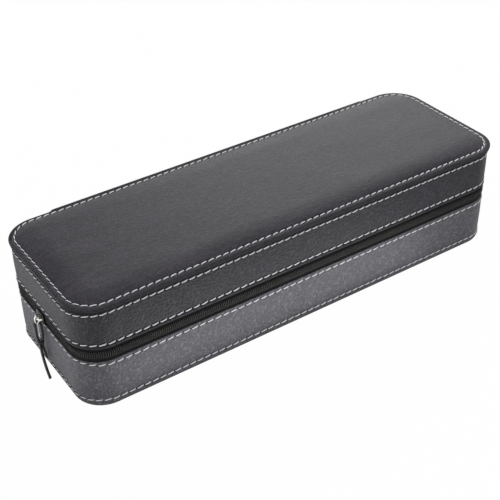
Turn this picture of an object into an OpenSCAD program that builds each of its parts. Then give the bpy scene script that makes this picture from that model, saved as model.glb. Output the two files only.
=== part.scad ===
// Watch travel case: a zipped, leather-covered case with a row of watch pillows inside.
// X runs along the case, Y from its front to its hinged back, Z up from the table.

/* [Case] */
// Length of the case over the lip of its lid
case_len = 330; // [300:1:360]
// Depth of the case over the lip of its lid
case_dep = 110; // [106:1:130]
// Corner radius of the lip, seen from above
corner_r = 22; // [19:0.5:26]
// How far the lip stands out past the walls
lip_over = 1.2; // [0.8:0.1:2]

/* [Heights] */
// Top edge of the base's leather wall, above the table
base_h = 34; // [31:0.5:40]
// Open band between the two leather walls, where the zip runs
zip_gap = 10.2; // [9.6:0.1:12]
// Height of the lid's leather wall
lid_wall_h = 27.6; // [25:0.2:34]
// Thickness of the lid's top at its lip
lip_t = 2.4; // [2:0.1:3]
// Rise of the padded top from the lip to the middle
crown_h = 2; // [1:0.1:3]

/* [Layers] */
// Thickness of the leather on the walls and the top
leather_t = 1; // [0.8:0.1:1.2]
// Thickness of the bottom's leather
bottom_t = 1.2; // [1:0.1:2]
// How far the bottom's leather stops inside the walls' face
bottom_in = 0.4; // [0:0.1:0.8]
// Thickness of the zip's tapes, and of the foam that ends at them
tape_t = 0.8; // [0.6:0.1:1]
// How far each tape is sewn in under its wall's leather
tape_seam = 6; // [4:0.5:8]
// Thickness of the boards in the walls and the bottom
board_t = 2.2; // [1.8:0.1:2.8]
// Thickness of the velvet lining
lining_t = 1; // [0.6:0.1:1.4]
// Thickness of the lined collar that stands inside the base
collar_t = 1.6; // [1.2:0.1:2.4]
// Gap between the collar's top edge and the lid's lining
collar_gap = 0.4; // [0.3:0.1:1]
// Thickness of the soft pad under the lid's top
pad_t = 4; // [2:0.5:8]

/* [Zip] */
// Width of the two closed halves of the zip's coil
coil_w = 5; // [4.4:0.1:5.6]
// How far the coil stands out from its tape
coil_t = 1.2; // [0.9:0.1:1.4]
// Slot between the two halves, where the slider's post runs
coil_slot = 1.1; // [1:0.1:1.4]
// Length of the slider
slider_l = 10; // [8:0.5:12]
// Height of the slider
slider_w = 7.6; // [7:0.1:8.4]
// Thickness of the slider's two plates
plate_t = 1; // [0.8:0.1:1.2]
// Gap between the slider and what it runs along
slider_play = 0.3; // [0.2:0.05:0.35]
// Where the slider stands along the left end, from its middle
slider_y = 2; // [-20:1:20]
// Thickness of the slider's bail
bail_wire = 1.1; // [0.9:0.1:1.3]
// Radius of the bail's two bends
bail_r = 2.4; // [2.3:0.1:3]
// Length of the straight bar between the bends, that the pull hangs on
bar_l = 2; // [1.2:0.1:3]
// How far each end of the zip goes in under the hinge panel
zip_tuck = 4; // [2:0.5:8]

/* [Pull] */
// Thickness of the wire link at the top of the pull
link_wire = 1; // [0.8:0.1:1]
// Gap between the link and the bail's bar
link_play = 0.15; // [0.1:0.05:0.2]
// Length of the straight sides of the link
link_side = 2.6; // [2:0.1:4]
// Thickness of the pull's shank
shank_d = 0.9; // [0.7:0.1:1.1]
// Length of the shank below the link
shank_l = 10.4; // [8:0.1:12]
// Diameter of the knob at the shank's foot
knob_d = 2; // [1.6:0.1:2.2]
// Width of the leather lace
lace_w = 2.4; // [2:0.1:3]
// Thickness of the leather lace
lace_t = 1.2; // [0.8:0.1:1.4]
// Gap between the shank and each leg of the lace's eye
eye_gap = 0.95; // [0.9:0.05:1.2]

/* [Hinge] */
// Length of the leather panel that hinges the lid to the base
panel_len = 258; // [200:1:260]
// Thickness of the hinge panel's leather
panel_t = 1.2; // [1:0.1:1.6]
// Thickness of the webbing sewn in behind the panel
backing_t = 1.2; // [0.8:0.1:1.6]
// How far the webbing stops above the panel's lower edge
backing_in = 2; // [1:0.5:6]
// Lower edge of the panel, above the table
panel_z = 8; // [6:1:20]
// Slit between the panel's two halves, where it folds
fold_gap = 0.3; // [0.2:0.1:0.6]

/* [Inside] */
// Number of watch bays
bays = 6; // [3:1:6]
// Thickness of the dividers between the bays
divider_t = 2.4; // [1.6:0.1:4]
// Height of the dividers above the floor
divider_h = 30; // [20:1:36]
// Depth of a pillow, from its front to its back
pillow_dep = 80; // [70:1:84]
// Height of a pillow
pillow_h = 38; // [30:1:42]
// Gap between a pillow and the sides of its bay
pillow_gap = 2.3; // [1:0.1:5]
// Rounding of a pillow's two ends
pillow_round = 6; // [3:0.5:10]
// Thickness of a pillow's velvet cover
cover_t = 1.2; // [0.8:0.1:2]

/* [Hidden] */
$fn = 64;
fit = 0.1; // loose pieces that lie against each other
rest = 0.3; // a pillow lies this far above the floor
edge_r = 0.7; // rounding of the lip's top edge
edge_steps = 4;
ramp_start = 4.6; // the crown rises from here, inside the lip's seam
ramp_steps = 8;
crown_flat_r = 1; // corner radius left where the crown levels out

// The walls' face, seen from above
wall_len = case_len - 2 * lip_over;
wall_dep = case_dep - 2 * lip_over;
wall_r = corner_r - lip_over;
flat_x = case_len / 2 - corner_r;
flat_y = case_dep / 2 - corner_r;

// Layers of the walls, counted inwards from their face
at_board = leather_t + tape_t;
at_collar = at_board + board_t;
at_inside = at_collar + collar_t;
at_pad = at_collar + lining_t + fit;

// Heights of the layers above the table
zip_z = base_h + zip_gap / 2;
lid_z = base_h + zip_gap;
lip_z = lid_z + lid_wall_h;
top_z = lip_z + lip_t;
floor_z = bottom_t + board_t + lining_t;
collar_z = lid_z - collar_gap;

// The crown's rise is one arc, from the lip's seam to where the top is level
ramp_w = corner_r - crown_flat_r - ramp_start;
crown_r = (pow(ramp_w, 2) + pow(crown_h, 2)) / (2 * crown_h);
function ramp_z(u) = crown_h - crown_r + sqrt(pow(crown_r, 2) - pow(ramp_w - u, 2));
ramp = [for (k = [0:ramp_steps]) let (u = ramp_w * k / ramp_steps) [corner_r - ramp_start - u, ramp_z(u)]];
edge = [for (k = [0:edge_steps]) let (a = 90 * k / edge_steps)
    [corner_r - edge_r + edge_r * cos(a), edge_r * (sin(a) - 1)]];

// The hinge: its panel lies on webbing on the back wall
panel_y = wall_dep / 2 + backing_t;
panel_top = top_z - fit;
zip_end = panel_len / 2 - zip_tuck;
backing_len = 2 * (zip_end - fit);
stop_l = 2.3;
stop_w = 2;

// The slider, counted inwards from the walls' face
coil_out = leather_t - coil_t;
plate_out = coil_out - slider_play - plate_t;
plate_in = at_board + slider_play;
post_w = coil_slot - 0.4;
post_l = 2;
lip_d = 0.6; // depth of the slider's lower guide
bail_sink = 0.3; // how far the bail's feet go into the plate
bar_x = plate_out + bail_sink - bail_r; // centre of the bail's bar
plate_round = 2.4;

// The pull hangs from the bail's bar; heights count down from there
link_r = bail_wire / 2 + link_play + link_wire / 2;
shank_top = link_side + link_r;
knob_z = shank_top + shank_l;

// The lace: its eye goes round the shank, is drawn together below the knob and ends in two tails
leg_in = shank_d / 2 + eye_gap;
eye_top = shank_top + link_wire / 2 + 0.4;
eye_bend = knob_z + 0.3;
pinch_z = knob_z + 3;
pinch_h = 1.4;
eye_behind = 0.8; // the top of the eye passes this far behind the shank's middle
short_end = [1.7, 0, 32.5]; // ends of the tails: towards the wall, along it, down
long_end = [-2.9, -12.3, 37.8];
tail_h = 0.6;

// Bays and pillows
inside_len = wall_len - 2 * at_inside;
bay_w = (inside_len - (bays - 1) * divider_t) / bays;
pillow_len = bay_w - 2 * pillow_gap;
pillow_z = floor_z + rest + pillow_h / 2;
function bay_x(i) = -inside_len / 2 + bay_w / 2 + (i - 1) * (bay_w + divider_t);

leather = "#4a4a52";
velvet = "#2b2b30";
board = "#9c8a6c";
foam = "#d8d4c8";
webbing = "#1b1b1d";
nickel = "#c9c7c2";

// Shared shapes

module rounded(l, w, r) {
    square([l - 2 * r, w], center = true);
    square([l, w - 2 * r], center = true);
    for (sx = [-1, 1], sy = [-1, 1]) translate([sx * (l / 2 - r), sy * (w / 2 - r)]) circle(r);
}

// The walls' outline, moved inwards
module outline(inset) rounded(wall_len - 2 * inset, wall_dep - 2 * inset, wall_r - inset);

// A flat layer that fills the outline
module layer(inset, z0, z1) translate([0, 0, z0]) linear_extrude(z1 - z0) outline(inset);

// A layer of the walls
module wall(inset, t, z0, z1) translate([0, 0, z0]) linear_extrude(z1 - z0) difference() {
    outline(inset);
    outline(inset + t);
}

// Sweeps a profile round the lip; its x counts outwards from the centres of the corners
module around() for (q = [0:3]) {
    run = q % 2 == 0 ? flat_x : flat_y;
    out = q % 2 == 0 ? flat_y : flat_x;
    rotate(90 * q) {
        translate([-run, out, 0]) rotate([90, 0, 90]) linear_extrude(2 * run) children();
        translate([run, out, 0]) rotate_extrude(angle = 90) children();
    }
}

// A slab along the back of the case
module back_slab(l, y, t, z0, z1) translate([-l / 2, y, z0]) cube([l, t, z1 - z0]);

// What goes round the case but leaves the middle of the back to the hinge
module all_but_hinge() difference() {
    children();
    translate([-zip_end, wall_dep / 2 - wall_r, 0]) cube([2 * zip_end, wall_r + 1, top_z]);
}

// A pillow's shape: round at the front and back, with softened ends
module cushion(l, d, h, r) {
    flat = (d - h) / 2;
    rotate([-90, -90, 0]) translate([0, 0, -flat]) linear_extrude(2 * flat) rounded(h, l, r);
    for (side = [0, 1]) mirror([0, side, 0]) translate([0, flat, 0])
        rotate([0, 90, 0]) rotate_extrude(angle = 180) intersection() {
            rounded(h, l, r);
            translate([0, -l / 2]) square([h / 2, l]);
        }
}

// Lid

module lid_top_cover() color(leather) {
    around() polygon(concat(
        [[corner_r, lip_z]],
        [for (p = edge) [p[0], p[1] + top_z]],
        [for (p = ramp) [p[0], p[1] + top_z]],
        [for (k = [ramp_steps:-1:0]) [ramp[k][0], ramp[k][1] + top_z - leather_t]],
        [[corner_r - leather_t, top_z - leather_t], [corner_r - leather_t, lip_z]]
    ));
    translate([0, 0, top_z + crown_h - leather_t]) linear_extrude(leather_t)
        rounded(2 * (flat_x + crown_flat_r), 2 * (flat_y + crown_flat_r), crown_flat_r);
}

module lid_top_foam() color(foam) {
    around() polygon(concat(
        [for (p = ramp) [p[0], p[1] + top_z - leather_t]],
        [[crown_flat_r, top_z - leather_t]]
    ));
    translate([0, 0, top_z - leather_t]) linear_extrude(crown_h)
        rounded(2 * (flat_x + crown_flat_r), 2 * (flat_y + crown_flat_r), crown_flat_r);
}

module lid_top_board() color(board) layer(leather_t - lip_over, lip_z, top_z - leather_t);

module lid_wall_cover() color(leather) wall(0, leather_t, lid_z, lip_z);

module lid_wall_foam() color(foam) wall(leather_t, tape_t, lid_z + tape_seam, lip_z);

module lid_wall_board() color(board) wall(at_board, board_t, lid_z, lip_z);

module lid_wall_lining() color(velvet) wall(at_collar, lining_t, lid_z, lip_z);

module lid_pad() color(velvet) layer(at_pad, lip_z - pad_t, lip_z);

// Base

module base_bottom_cover() color(leather) layer(bottom_in, 0, bottom_t);

module base_bottom_board() color(board) layer(at_collar, bottom_t, bottom_t + board_t);

module base_floor_lining() color(velvet) layer(at_collar, bottom_t + board_t, floor_z);

module base_wall_cover() color(leather) wall(0, leather_t, bottom_t, base_h);

module base_wall_foam() color(foam) wall(leather_t, tape_t, bottom_t, base_h - tape_seam);

module base_wall_board() color(board) wall(at_board, board_t, bottom_t, base_h);

module base_collar() color(velvet) wall(at_collar, collar_t, floor_z, collar_z);

module divider(i) color(velvet)
    translate([bay_x(i) + bay_w / 2, -wall_dep / 2 + at_inside + fit, floor_z])
        cube([divider_t, wall_dep - 2 * (at_inside + fit), divider_h]);

// Zip

module zip_tape_upper() color(webbing) all_but_hinge()
    wall(leather_t, tape_t, zip_z + coil_slot / 2, lid_z + tape_seam);

module zip_coil_upper() color(webbing) all_but_hinge()
    wall(coil_out, coil_t, zip_z + coil_slot / 2, zip_z + coil_w / 2);

module zip_tape_lower() color(webbing) all_but_hinge()
    wall(leather_t, tape_t, base_h - tape_seam, zip_z - coil_slot / 2);

module zip_coil_lower() color(webbing) all_but_hinge()
    wall(coil_out, coil_t, zip_z - coil_w / 2, zip_z - coil_slot / 2);

module zip_stops() color(nickel) for (side = [0, 1]) mirror([side, 0, 0])
    translate([zip_end - fit - stop_l, wall_dep / 2 - at_board, zip_z - coil_slot / 2 - stop_w])
        cube([stop_l, at_board - fit, stop_w]);

// A plate of the slider, at a distance inwards from the walls' face
module slider_plate(x) translate([x, 0, 0]) rotate([90, 0, 90])
    linear_extrude(plate_t) rounded(slider_l, slider_w, plate_round);

module zip_slider() color(nickel) translate([-wall_len / 2, slider_y, zip_z]) {
    slider_plate(plate_out);
    slider_plate(plate_in);
    translate([plate_out + plate_t / 2, -post_l / 2, -post_w / 2])
        cube([plate_in - plate_out, post_l, post_w]);
    translate([plate_out + plate_t / 2, plate_round - slider_l / 2, -slider_w / 2])
        cube([coil_out + lip_d - plate_out, slider_l - 2 * plate_round, lip_d]);
    translate([plate_out + bail_sink, 0, 0]) {
        for (side = [0, 1]) mirror([0, side, 0]) translate([0, bar_l / 2, 0]) rotate(90)
            rotate_extrude(angle = 90) translate([bail_r, 0]) circle(d = bail_wire);
        translate([-bail_r, bar_l / 2, 0]) rotate([90, 0, 0]) cylinder(d = bail_wire, h = bar_l);
    }
}

// Everything that hangs from the bail's bar, with z counting up from the bar's centre
module from_bar() translate([bar_x - wall_len / 2, slider_y, zip_z]) children();

module link_end() rotate([90, 0, 0]) rotate_extrude(angle = 180)
    translate([link_r, 0]) circle(d = link_wire);

module zip_pull() color(nickel) from_bar() {
    link_end();
    translate([0, 0, -link_side]) mirror([0, 0, 1]) link_end();
    for (side = [-1, 1]) translate([side * link_r, 0, -link_side])
        cylinder(d = link_wire, h = link_side);
    translate([0, 0, -knob_z]) cylinder(d = shank_d, h = knob_z - shank_top);
    translate([0, 0, -knob_z]) sphere(d = knob_d);
}

// One leg of the lace's eye, down to where the two legs are drawn together
module lace_leg() rotate([90, 0, 0]) linear_extrude(lace_w, center = true) polygon([
    [leg_in, -eye_top], [leg_in + lace_t, -eye_top], [leg_in + lace_t, -eye_bend],
    [lace_t, -pinch_z], [lace_t, -pinch_z - pinch_h], [0, -pinch_z - pinch_h],
    [0, -pinch_z + lace_t / 2], [leg_in, -eye_bend]
]);

// A cross-section of a tail, at a place counted from the bar
module tail_end(x, y, down) translate([x - lace_t / 2, y - lace_w / 2, -down])
    cube([lace_t, lace_w, tail_h]);

module pull_lace() color(webbing) from_bar() {
    lace_leg();
    mirror([1, 0, 0]) lace_leg();
    translate([-leg_in - lace_t, eye_behind, -eye_top - lace_t])
        cube([2 * (leg_in + lace_t), lace_t, lace_t]);
    hull() {
        tail_end(lace_t / 2, 0, pinch_z + pinch_h);
        tail_end(short_end[0], short_end[1], short_end[2]);
    }
    hull() {
        tail_end(-lace_t / 2, 0, pinch_z + pinch_h);
        tail_end(long_end[0], long_end[1], long_end[2]);
    }
}

// Hinge

module hinge_panel_upper() color(leather)
    back_slab(panel_len, panel_y, panel_t, zip_z + fold_gap / 2, panel_top);

module hinge_panel_lower() color(leather)
    back_slab(panel_len, panel_y, panel_t, panel_z, zip_z - fold_gap / 2);

module hinge_webbing_upper() color(webbing)
    back_slab(backing_len, wall_dep / 2, backing_t, zip_z + fold_gap / 2, lip_z - fit);

module hinge_webbing_lower() color(webbing)
    back_slab(backing_len, wall_dep / 2, backing_t, panel_z + backing_in, zip_z - fold_gap / 2);

module hinge_lining_upper() color(velvet) back_slab(2 * (zip_end - stop_l - 2 * fit),
    wall_dep / 2 - at_board, tape_t, zip_z + fold_gap / 2, lid_z);

module hinge_lining_lower() color(velvet) back_slab(2 * (zip_end - stop_l - 2 * fit),
    wall_dep / 2 - at_board, tape_t, base_h, zip_z - fold_gap / 2);

// Pillows

module pillow_cover(i) color("#77777d") translate([bay_x(i), 0, pillow_z]) difference() {
    cushion(pillow_len, pillow_dep, pillow_h, pillow_round);
    cushion(pillow_len - 2 * cover_t, pillow_dep - 2 * cover_t, pillow_h - 2 * cover_t,
        pillow_round - cover_t);
}

module pillow_core(i) color(foam) translate([bay_x(i), 0, pillow_z]) {
    in = cover_t + fit;
    cushion(pillow_len - 2 * in, pillow_dep - 2 * in, pillow_h - 2 * in, pillow_round - in);
}

lid_top_cover();
lid_top_foam();
lid_top_board();
lid_wall_cover();
lid_wall_foam();
lid_wall_board();
lid_wall_lining();
lid_pad();
zip_tape_upper();
zip_coil_upper();
hinge_panel_upper();
hinge_webbing_upper();
hinge_lining_upper();
base_bottom_cover();
base_bottom_board();
base_floor_lining();
base_wall_cover();
base_wall_foam();
base_wall_board();
base_collar();
zip_tape_lower();
zip_coil_lower();
zip_stops();
hinge_panel_lower();
hinge_webbing_lower();
hinge_lining_lower();
zip_slider();
zip_pull();
pull_lace();
for (i = [1:bays - 1]) divider(i);
for (i = [1:bays]) pillow_cover(i);
for (i = [1:bays]) pillow_core(i);
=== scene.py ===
from math import ceil, cos, exp, pi, radians, sin, sqrt

import bmesh
import bpy
from mathutils import Matrix, Vector, noise
from mathutils.bvhtree import BVHTree


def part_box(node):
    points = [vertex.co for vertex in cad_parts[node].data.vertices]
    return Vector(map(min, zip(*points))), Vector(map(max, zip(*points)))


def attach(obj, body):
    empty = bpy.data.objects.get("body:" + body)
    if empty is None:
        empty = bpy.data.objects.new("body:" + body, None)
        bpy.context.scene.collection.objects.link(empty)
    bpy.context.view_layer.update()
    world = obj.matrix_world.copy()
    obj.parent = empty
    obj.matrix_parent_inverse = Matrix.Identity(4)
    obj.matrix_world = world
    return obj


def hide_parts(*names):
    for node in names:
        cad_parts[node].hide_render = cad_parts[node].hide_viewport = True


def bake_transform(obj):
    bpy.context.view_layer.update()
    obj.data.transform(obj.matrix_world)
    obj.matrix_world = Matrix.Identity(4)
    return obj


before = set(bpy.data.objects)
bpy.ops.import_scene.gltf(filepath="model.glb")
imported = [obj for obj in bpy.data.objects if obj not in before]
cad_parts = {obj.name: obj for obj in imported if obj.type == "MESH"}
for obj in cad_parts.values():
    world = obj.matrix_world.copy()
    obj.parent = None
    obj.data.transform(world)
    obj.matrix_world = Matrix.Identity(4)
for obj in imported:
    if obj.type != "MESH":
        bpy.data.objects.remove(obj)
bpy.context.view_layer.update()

mm = 0.001  # the sizes below are in millimetres
scene = bpy.context.scene
scene.view_settings.view_transform = "Standard"

cameraView = {
    "azimuth": -33.1786, "elevation": 35.4571, "roll": -1.4978,
    "target": (-11.969, -0.004, 26.669), "distance": 709.136, "lens": 74.74,
    "shift": (0.0006, -0.0004),
}

studio = {
    "floorSize": 6.0,
    "floorLevel": -0.0003,
    "floorColour": (228, 228, 228),
    "floorWhite": 0.985,     # share of plain white that the camera sees on the floor
    "ambient": 0.55,
    "lamps": {
        "backSoftbox": {
            "at": (0.86, 1.12, 0.76), "aim": (0.05, 0.0, 0.07), "size": (0.9, 0.7), "watts": 7.5,
        },
        "topSoftbox": {
            "at": (0.1, 0.25, 1.5), "aim": (0.0, 0.0, 0.0), "size": (1.2, 1.0), "watts": 4.6,
        },
        "leftCard": {
            "at": (-0.40, 0.10, 0.003), "aim": (-0.40, 0.10, 1.0), "size": (0.36, 0.40), "watts": 0.7,
        },
        "frontCard": {
            "at": (-0.02, -0.096, 0.002), "aim": (-0.02, -0.096, 1.0), "size": (0.25, 0.06), "watts": 0.098,
        },
    },
}


def setCamera():
    azimuth, elevation, roll = (radians(cameraView[k]) for k in ("azimuth", "elevation", "roll"))
    back = Vector((sin(azimuth) * cos(elevation), -cos(azimuth) * cos(elevation), sin(elevation)))
    right = Vector((0, 0, 1)).cross(back).normalized()
    up = back.cross(right)
    level = Matrix((right, up, back)).transposed()
    turn = Matrix.Rotation(roll, 3, "Z")
    data = bpy.data.cameras.new("photoCamera")
    data.lens = cameraView["lens"]
    data.sensor_width = 36
    data.shift_x, data.shift_y = cameraView["shift"]
    data.clip_start = 0.01
    camera = bpy.data.objects.new("photoCamera", data)
    camera.matrix_world = Matrix.Translation(
        (Vector(cameraView["target"]) + back * cameraView["distance"]) * mm
    ) @ (level @ turn).to_4x4()
    scene.collection.objects.link(camera)
    scene.camera = camera


def addLamp(name, lamp):
    data = bpy.data.lights.new(name, "AREA")
    data.shape = "RECTANGLE"
    data.size, data.size_y = lamp["size"]
    data.energy = lamp["watts"]
    light = bpy.data.objects.new(name, data)
    light.location = lamp["at"]
    light.rotation_euler = (Vector(lamp["aim"]) - Vector(lamp["at"])).to_track_quat("-Z", "Y").to_euler()
    light.visible_camera = False
    scene.collection.objects.link(light)


def shade(red, green, blue):
    # a colour as a paint program shows it, 0 to 255
    linear = [((c / 255 + 0.055) / 1.055) ** 2.4 if c > 10 else c / 255 / 12.92 for c in (red, green, blue)]
    return (*linear, 1.0)


def put(tree, kind, **settings):
    # a new node; a setting is one of its values, or a socket that is linked to the input of that name
    node = tree.nodes.new("ShaderNode" + kind)
    for key, value in settings.items():
        if hasattr(node, key):
            setattr(node, key, value)
            continue
        socket = node.inputs[key.replace("_", " ")]
        if isinstance(value, bpy.types.NodeSocket):
            tree.links.new(value, socket)
        else:
            socket.default_value = value
    return node


def calculate(tree, operation, first, second):
    # second may be a plain number
    node = put(tree, "Math", operation=operation)
    tree.links.new(first, node.inputs[0])
    if isinstance(second, bpy.types.NodeSocket):
        tree.links.new(second, node.inputs[1])
    else:
        node.inputs[1].default_value = second
    return node.outputs[0]


def seenWhite(tree):
    # 1 for what the camera, a reflection or a glass sees directly
    path = put(tree, "LightPath").outputs
    direct = calculate(tree, "MAXIMUM", path["Is Camera Ray"], path["Is Glossy Ray"])
    return calculate(tree, "MAXIMUM", direct, path["Is Transmission Ray"])


def mixShaders(tree, share, first, second, output):
    mix = put(tree, "MixShader")
    for source, socket in zip((share, first, second), mix.inputs):
        tree.links.new(source, socket)
    tree.links.new(mix.outputs[0], output.inputs[0])


def addFloor():
    half, level = studio["floorSize"] / 2, studio["floorLevel"]
    corners = [(x * half, y * half, level) for x, y in ((-1, -1), (1, -1), (1, 1), (-1, 1))]
    mesh = bpy.data.meshes.new("floor")
    mesh.from_pydata(corners, [], [(0, 1, 2, 3)])
    floor = bpy.data.objects.new("floor", mesh)
    scene.collection.objects.link(floor)
    paper = bpy.data.materials.new("floorPaper")
    paper.use_nodes = True
    tree = paper.node_tree
    shader = tree.nodes["Principled BSDF"]
    shader.inputs["Roughness"].default_value = 0.9
    shader.inputs["Base Color"].default_value = shade(*studio["floorColour"])
    shader.inputs["Specular IOR Level"].default_value = 0.1
    white = put(tree, "Emission", Strength=1.0)
    share = calculate(tree, "MULTIPLY", seenWhite(tree), studio["floorWhite"])
    mixShaders(tree, share, shader.outputs[0], white.outputs[0], tree.nodes["Material Output"])
    mesh.materials.append(paper)


def addWorld():
    world = bpy.data.worlds.new("studioWorld")
    scene.world = world
    world.use_nodes = True
    tree = world.node_tree
    tree.nodes.clear()
    dim, bright = [put(tree, "Background", Color=(1, 1, 1, 1), Strength=strength).outputs[0]
                   for strength in (studio["ambient"], 1.0)]
    mixShaders(tree, seenWhite(tree), dim, bright, put(tree, "OutputWorld"))


setCamera()
addFloor()
addWorld()
for lampName, lamp in studio["lamps"].items():
    addLamp(lampName, lamp)
print("camera and studio ready")


def newFinish(name, specular, **settings):
    # settings go to the shader's own sockets
    material = bpy.data.materials.new(name)
    material.use_nodes = True
    tree = material.node_tree
    for key, value in dict(settings, Specular_IOR_Level=specular).items():
        tree.nodes["Principled BSDF"].inputs[key.replace("_", " ")].default_value = value
    return material, tree, inMillimetres(tree)


def inMillimetres(tree, stretch=(1, 1, 1)):
    place = put(tree, "TexCoord").outputs["Object"]
    return put(tree, "Mapping", Vector=place, Scale=[1000 * s for s in stretch]).outputs["Vector"]


def speckle(tree, place, size, detail=3.0, rough=0.6):
    # soft noise whose lumps are about size millimetres
    return put(tree, "TexNoise", Vector=place, Scale=1 / size, Detail=detail, Roughness=rough).outputs["Fac"]


def spread(tree, source, low, high, start=0.3, end=0.7):
    limits = {"From_Min": start, "From_Max": end, "To_Min": low, "To_Max": high}
    return put(tree, "MapRange", Value=source, **limits).outputs["Result"]


def tones(tree, source, colours, start=0.3, end=0.7):
    ramp = put(tree, "ValToRGB", Fac=source)
    steps = ramp.color_ramp.elements
    for k, colour in enumerate(colours):
        where = start + (end - start) * k / (len(colours) - 1)
        step = steps[k] if k < 2 else steps.new(where)
        step.position = where
        step.color = shade(*colour)
    return ramp.outputs["Color"]


def total(tree, *parts):
    # adds heights or shades together; each part is (source, weight)
    scaled = [calculate(tree, "MULTIPLY", source, weight) for source, weight in parts]
    result = scaled[0]
    for other in scaled[1:]:
        result = calculate(tree, "ADD", result, other)
    return result


def surface(material, colour, rough, roughness, height, depth):
    # colour, rough and height are sockets; depth is the height's full range in millimetres
    tree = material.node_tree
    bump = put(tree, "Bump", Height=height, Strength=1.0, Distance=depth * mm)
    sources = {
        "Base Color": colour, "Roughness": spread(tree, rough, *roughness), "Normal": bump.outputs["Normal"],
    }
    for name, source in sources.items():
        tree.links.new(source, tree.nodes["Principled BSDF"].inputs[name])
    return material


# what the leathers share; sizes and depths in millimetres
leather = {
    "cloud": 7, "fine": 1.1, "fineShare": 0.4, "pits": 1.6, "pitShare": 0.25, "pitSoftness": 0.35,
    "pore": 0.35, "poreDepth": 0.03, "stretch": (1, 1, 1), "mix": (0.35, 0.0), "ramp": (0.34, 0.62),
    "grain": 2.0, "grainSlant": radians(-45), "grainSquash": (1, 1, 0.5), "grainEdge": (0.07, 0.3),
    "grainDepth": 0.6,
    "streaks": 0.0, "streak": 0.9, "streakSquash": (1, 1, 0.12), "streaksFrom": (-162, -140),
}


def slantedGrain(tree, place):
    # small grains whose marks run aslant up the walls
    turned = put(tree, "VectorRotate", rotation_type="Y_AXIS", Vector=place, Angle=leather["grainSlant"])
    squashed = put(tree, "Mapping", Vector=turned.outputs["Vector"], Scale=leather["grainSquash"])
    cells = put(tree, "TexVoronoi", Vector=squashed.outputs["Vector"], Scale=1 / leather["grain"],
                Randomness=1.0)
    return spread(tree, cells.outputs["Distance"], 1.0, 0.0, *leather["grainEdge"])


def leftStreaks(tree, place):
    # fine upright marks from handling, on the left end only; they stay around zero
    upright = speckle(tree, inMillimetres(tree, leather["streakSquash"]), leather["streak"])
    along = put(tree, "SeparateXYZ", Vector=place).outputs["X"]
    atLeft = spread(tree, along, 1.0, 0.0, *leather["streaksFrom"])
    return calculate(tree, "MULTIPLY", spread(tree, upright, -1.0, 1.0), atLeft)


def leatherFinish(name, ownLook):
    look = {**leather, **ownLook}
    material, tree, even = newFinish(name, look["specular"])
    place = inMillimetres(tree, look["stretch"])
    cloud = speckle(tree, place, look["cloud"], 4)
    fine = speckle(tree, place, look["fine"], 3, 0.7)
    pits = put(tree, "TexVoronoi", Vector=even, Scale=1 / look["pits"], Randomness=1.0,
               feature="SMOOTH_F1", Smoothness=look["pitSoftness"]).outputs["Distance"]
    pore = speckle(tree, even, look["pore"], 2, 0.5)
    grain = slantedGrain(tree, even)
    cloudy, grainy = look["mix"]
    mixed = total(tree, (cloud, cloudy), (fine, look["fineShare"]), (pits, look["pitShare"]),
                  (grain, grainy), (leftStreaks(tree, even), look["streaks"]))
    height = total(tree, (pits, look["pitDepth"]), (fine, look["fineDepth"]), (pore, look["poreDepth"]),
                   (grain, look["grainDepth"] * grainy))
    colour = tones(tree, mixed, look["colours"], *look["ramp"])
    return surface(material, colour, total(tree, (cloud, 0.5), (pore, 0.5)), look["roughness"], height, 1.0)


def topLeather():
    return leatherFinish("topLeather", {
        "colours": [(33, 30, 36), (46, 44, 50), (65, 62, 69)], "specular": 0.14, "roughness": (0.36, 0.5),
        "stretch": (0.3, 1, 1), "cloud": 9, "fine": 1.5, "pits": 1.1, "pitDepth": 0.05, "fineDepth": 0.2,
    })


# the lid band's leather: the same leather as the base's band, coloured darker than it as painted shade
def lidLeather():
    return leatherFinish("lidLeather", {
        "colours": [(32, 31, 35), (46, 45, 50), (68, 66, 73)], "specular": 0.19, "roughness": (0.48, 0.6),
        "pitDepth": 0.42, "fineDepth": 0.26, "mix": (0.25, 0.12), "ramp": (0.3, 0.6), "streaks": 0.07,
    })


# the base band's leather: coloured lighter than the lid's band as painted light from the floor's bounce; its
# grain differs as well
def baseLeather():
    return leatherFinish("baseLeather", {
        "colours": [(70, 69, 74), (88, 87, 93), (120, 119, 125)], "specular": 0.32, "roughness": (0.5, 0.62),
        "pitDepth": 0.42, "fineDepth": 0.24, "mix": (0.14, 0.28), "ramp": (0.27, 0.57), "streaks": 0.08,
    })


def hingeLeather():
    return leatherFinish("hingeLeather", {
        "colours": [(46, 45, 49), (57, 56, 61), (74, 72, 78)], "specular": 0.4, "roughness": (0.5, 0.62),
        "pits": 1.3, "pitDepth": 0.16, "fineDepth": 0.16,
    })


def laceLeather():
    return leatherFinish("laceLeather", {
        "colours": [(26, 25, 28), (34, 33, 37), (48, 47, 52)], "specular": 0.4, "roughness": (0.45, 0.6),
        "cloud": 3, "fine": 0.8, "pits": 0.7, "pitDepth": 0.05, "fineDepth": 0.08,
    })


def edgeTonesLitAtFront(name, litFrontTones, otherTones):
    # dark tones for a cut edge's paint and for painted shade in a fold; along the front, where Y is below
    # -52, they are lighter as painted light
    material, tree, place = newFinish(name, 0.12)
    brushed = total(tree, (speckle(tree, place, 5, 4), 0.5), (speckle(tree, place, 0.9), 0.5))
    toBack = spread(tree, put(tree, "SeparateXYZ", Vector=place).outputs["Y"], 0.0, 1.0, -52, -38)
    mix = put(tree, "Mix", data_type="RGBA")
    front, other = [tones(tree, brushed, colours, 0.34, 0.62) for colours in (litFrontTones, otherTones)]
    for source, number in ((toBack, 0), (front, 6), (other, 7)):  # the mix's share and its two colours
        tree.links.new(source, mix.inputs[number])
    return surface(material, mix.outputs[2], brushed, (0.5, 0.65), brushed, 0.12)


def edgePaintLitAtFront():
    # the paint on the lip's cut edge, with a lighter copy along the front as painted light
    return edgeTonesLitAtFront("edgePaintLitAtFront", [(43, 42, 46), (55, 54, 58), (70, 68, 73)],
                   [(14, 13, 16), (19, 18, 21), (27, 26, 30)])


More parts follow.
